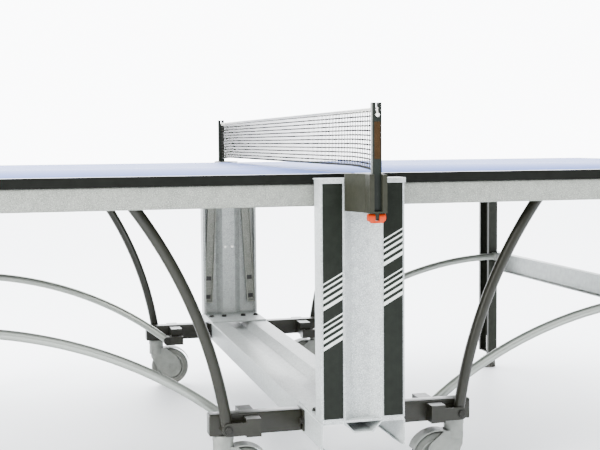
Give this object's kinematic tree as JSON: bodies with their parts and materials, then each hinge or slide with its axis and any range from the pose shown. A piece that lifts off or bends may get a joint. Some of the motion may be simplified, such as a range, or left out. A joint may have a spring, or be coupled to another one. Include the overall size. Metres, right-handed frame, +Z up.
{
  "type": "table tennis table",
  "caption": "Folding competition table with two half tops on rollers, a two-pillar chassis on casters, bowed arms and links, levelling feet and a net.",
  "frame": {"origin": "on the floor under the middle of the net line", "axes": "+X along the table towards the right half, +Y across the table towards the far side, +Z up"},
  "size_m": [2.74, 1.861, 0.912],
  "materials": {
    "board_blue": "matt blue playing surface",
    "edge_black": "satin black edge band",
    "grey_steel": "speckled light grey powder coat",
    "dark_steel": "dark olive powder coat",
    "black_steel": "satin black powder coat",
    "silver_steel": "satin silver tube",
    "panel_black": "black trim panel with diagonal white stripes",
    "zinc_fastener": "zinc plated",
    "black_fastener": "blackened",
    "caster_plastic": "moulded grey plastic",
    "wheel_grey": "grey rubber tyre on a grey hub",
    "bracket_plastic": "dark moulded plastic",
    "post_black": "black extrusion",
    "lever_orange": "moulded orange plastic",
    "roller_plastic": "black nylon",
    "rubber_black": "black rubber",
    "net_mesh": "knotted net cord",
    "cord_white": "braided white cord"
  },
  "bodies": {
    "chassis": {"base_beam": "grey_steel", "cross_bars": "dark_steel", "end_brackets": "dark_steel", "near_pillar": "grey_steel", "far_pillar": "grey_steel", "pillar_caps": "grey_steel", "pillar_panels": "panel_black", "guide_tracks": "grey_steel", "track_inserts": "rubber_black", "foot_plates": "grey_steel", "chassis_bolts": "black_fastener", "pillar_screws": "zinc_fastener", "near_net_bracket": "bracket_plastic", "far_net_bracket": "bracket_plastic", "near_net_post": "post_black", "far_net_post": "post_black", "net": "net_mesh", "net_top_cord": "cord_white", "cord_tails": "cord_white"},
    "right_carriage": {"right_rollers": "roller_plastic"},
    "right_top": {"right_board": "board_blue", "right_edge_band": "edge_black", "right_side_rails": "grey_steel", "right_end_rails": "grey_steel", "right_crossmembers": "grey_steel", "right_hinge_brackets": "dark_steel", "right_pivot_brackets": "dark_steel"},
    "right_arm_pair": {"right_arms": "dark_steel"},
    "right_leg_frame": {"right_legs": "black_steel", "right_leg_beam": "silver_steel"},
    "right_link_pair": {"right_links": "silver_steel"},
    "right_near_foot_body": {"right_near_foot": "rubber_black"},
    "right_far_foot_body": {"right_far_foot": "rubber_black"},
    "left_carriage": {"left_rollers": "roller_plastic"},
    "left_top": {"left_board": "board_blue", "left_edge_band": "edge_black", "left_side_rails": "grey_steel", "left_end_rails": "grey_steel", "left_crossmembers": "grey_steel", "left_hinge_brackets": "dark_steel", "left_pivot_brackets": "dark_steel"},
    "left_arm_pair": {"left_arms": "dark_steel"},
    "left_leg_frame": {"left_legs": "black_steel", "left_leg_beam": "silver_steel"},
    "left_link_pair": {"left_links": "silver_steel"},
    "left_near_foot_body": {"left_near_foot": "rubber_black"},
    "left_far_foot_body": {"left_far_foot": "rubber_black"},
    "near_left_caster": {"near_left_caster_fork": "caster_plastic"},
    "near_left_wheel": {"near_left_caster_wheel": "wheel_grey"},
    "near_right_caster": {"near_right_caster_fork": "caster_plastic"},
    "near_right_wheel": {"near_right_caster_wheel": "wheel_grey"},
    "near_lever": {"near_release_lever": "lever_orange"},
    "far_left_caster": {"far_left_caster_fork": "caster_plastic"},
    "far_left_wheel": {"far_left_caster_wheel": "wheel_grey"},
    "far_right_caster": {"far_right_caster_fork": "caster_plastic"},
    "far_right_wheel": {"far_right_caster_wheel": "wheel_grey"},
    "far_lever": {"far_release_lever": "lever_orange"}
  },
  "joints": [
    {"name": "right_carriage_slide", "type": "slide", "parent": "chassis", "child": "right_carriage", "axis": [0.0528, 0, -0.9986], "range_m": [0, 0.45423]},
    {"name": "right_fold", "type": "hinge", "parent": "right_carriage", "child": "right_top", "pos_m": [0.054, 0, 0.726], "axis": [0, -1, 0], "range_deg": [0, 90]},
    {"name": "right_arm_hinge", "type": "hinge", "parent": "right_top", "child": "right_arm_pair", "pos_m": [0.4935, 0, 0.7], "axis": [0, 1, 0], "range_deg": [0, 49.42]},
    {"name": "right_leg_hinge", "type": "hinge", "parent": "right_top", "child": "right_leg_frame", "pos_m": [0.93, 0, 0.694], "axis": [0, 1, 0], "range_deg": [0, 90.05]},
    {"name": "right_link_hinge", "type": "hinge", "parent": "right_leg_frame", "child": "right_link_pair", "pos_m": [0.93, 0, 0.412], "axis": [0, -1, 0], "range_deg": [0, 82.1]},
    {"name": "right_near_foot_screw", "type": "slide", "parent": "right_leg_frame", "child": "right_near_foot_body", "axis": [0, 0, 1], "range_m": [0, 0.012]},
    {"name": "right_far_foot_screw", "type": "slide", "parent": "right_leg_frame", "child": "right_far_foot_body", "axis": [0, 0, 1], "range_m": [0, 0.012]},
    {"name": "left_carriage_slide", "type": "slide", "parent": "chassis", "child": "left_carriage", "axis": [-0.0528, 0, -0.9986], "range_m": [0, 0.45423]},
    {"name": "left_fold", "type": "hinge", "parent": "left_carriage", "child": "left_top", "pos_m": [-0.054, 0, 0.726], "axis": [0, 1, 0], "range_deg": [0, 90]},
    {"name": "left_arm_hinge", "type": "hinge", "parent": "left_top", "child": "left_arm_pair", "pos_m": [-0.4935, 0, 0.7], "axis": [0, -1, 0], "range_deg": [0, 49.42]},
    {"name": "left_leg_hinge", "type": "hinge", "parent": "left_top", "child": "left_leg_frame", "pos_m": [-0.93, 0, 0.694], "axis": [0, -1, 0], "range_deg": [0, 90.05]},
    {"name": "left_link_hinge", "type": "hinge", "parent": "left_leg_frame", "child": "left_link_pair", "pos_m": [-0.93, 0, 0.412], "axis": [0, 1, 0], "range_deg": [0, 82.1]},
    {"name": "left_near_foot_screw", "type": "slide", "parent": "left_leg_frame", "child": "left_near_foot_body", "axis": [0, 0, 1], "range_m": [0, 0.012]},
    {"name": "left_far_foot_screw", "type": "slide", "parent": "left_leg_frame", "child": "left_far_foot_body", "axis": [0, 0, 1], "range_m": [0, 0.012]},
    {"name": "near_left_swivel", "type": "hinge", "parent": "chassis", "child": "near_left_caster", "pos_m": [-0.28554, -0.642, 0.157], "axis": [0, 0, 1], "continuous": true},
    {"name": "near_left_wheel_spin", "type": "hinge", "parent": "near_left_caster", "child": "near_left_wheel", "pos_m": [-0.23955, -0.642, 0.0625], "axis": [0, 1, 0], "continuous": true},
    {"name": "near_right_swivel", "type": "hinge", "parent": "chassis", "child": "near_right_caster", "pos_m": [0.28554, -0.642, 0.157], "axis": [0, 0, 1], "continuous": true},
    {"name": "near_right_wheel_spin", "type": "hinge", "parent": "near_right_caster", "child": "near_right_wheel", "pos_m": [0.23955, -0.642, 0.0625], "axis": [0, 1, 0], "continuous": true},
    {"name": "near_lever_hinge", "type": "hinge", "parent": "chassis", "child": "near_lever", "pos_m": [0, -0.915, 0.671], "axis": [-1, 0, 0], "range_deg": [0, 20]},
    {"name": "far_left_swivel", "type": "hinge", "parent": "chassis", "child": "far_left_caster", "pos_m": [-0.28554, 0.642, 0.157], "axis": [0, 0, 1], "continuous": true},
    {"name": "far_left_wheel_spin", "type": "hinge", "parent": "far_left_caster", "child": "far_left_wheel", "pos_m": [-0.23955, 0.642, 0.0625], "axis": [0, 1, 0], "continuous": true},
    {"name": "far_right_swivel", "type": "hinge", "parent": "chassis", "child": "far_right_caster", "pos_m": [0.28554, 0.642, 0.157], "axis": [0, 0, 1], "continuous": true},
    {"name": "far_right_wheel_spin", "type": "hinge", "parent": "far_right_caster", "child": "far_right_wheel", "pos_m": [0.23955, 0.642, 0.0625], "axis": [0, 1, 0], "continuous": true},
    {"name": "far_lever_hinge", "type": "hinge", "parent": "chassis", "child": "far_lever", "pos_m": [0, 0.915, 0.671], "axis": [1, 0, 0], "range_deg": [0, 20]}
  ],
  "couplings": [
    {"joint": "right_carriage_slide", "follows": "right_fold", "m_per_rad": 0.28911},
    {"joint": "right_arm_hinge", "follows": "right_fold", "ratio": 0.54851},
    {"joint": "right_leg_hinge", "follows": "right_fold", "ratio": 1},
    {"joint": "right_link_hinge", "follows": "right_fold", "ratio": 0.91165},
    {"joint": "left_carriage_slide", "follows": "left_fold", "m_per_rad": 0.28911},
    {"joint": "left_arm_hinge", "follows": "left_fold", "ratio": 0.54851},
    {"joint": "left_leg_hinge", "follows": "left_fold", "ratio": 1},
    {"joint": "left_link_hinge", "follows": "left_fold", "ratio": 0.91165}
  ]
}
